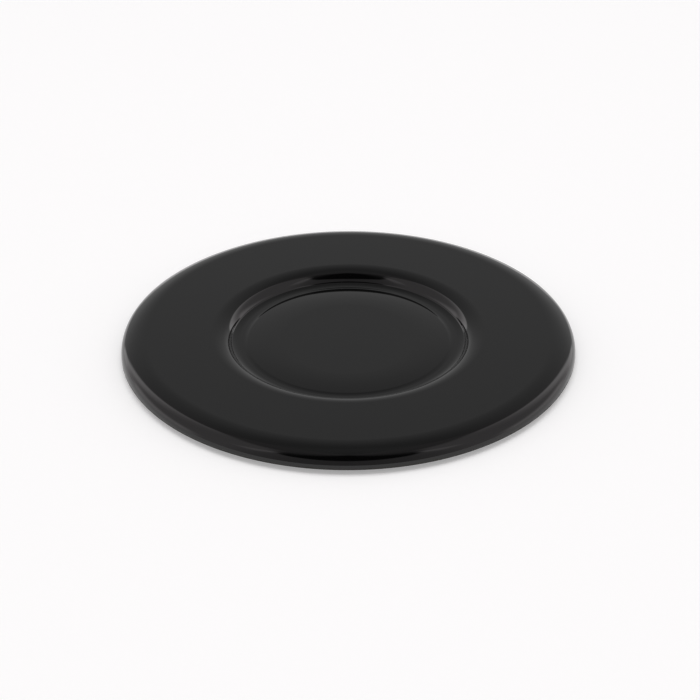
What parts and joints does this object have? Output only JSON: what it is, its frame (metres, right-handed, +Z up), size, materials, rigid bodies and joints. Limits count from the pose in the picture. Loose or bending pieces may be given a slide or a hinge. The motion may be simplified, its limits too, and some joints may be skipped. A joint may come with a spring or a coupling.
{
  "type": "gas hob burner cap",
  "caption": "Round burner cap pressed from steel sheet in black enamel: a flat top with a turned-down rim and a recess with a gently domed floor, over a boss that centres it on its burner.",
  "frame": {"origin": "on the axis, level with the lowest face of the boss, on which the cap stands", "axes": "+Z up along the axis of the cap; the cap is round, so X and Y are equal"},
  "size_m": [0.075, 0.075, 0.0037],
  "materials": {
    "black_enamel": "gloss"
  },
  "bodies": {
    "root": {"burner_cap": "black_enamel"}
  },
  "joints": []
}
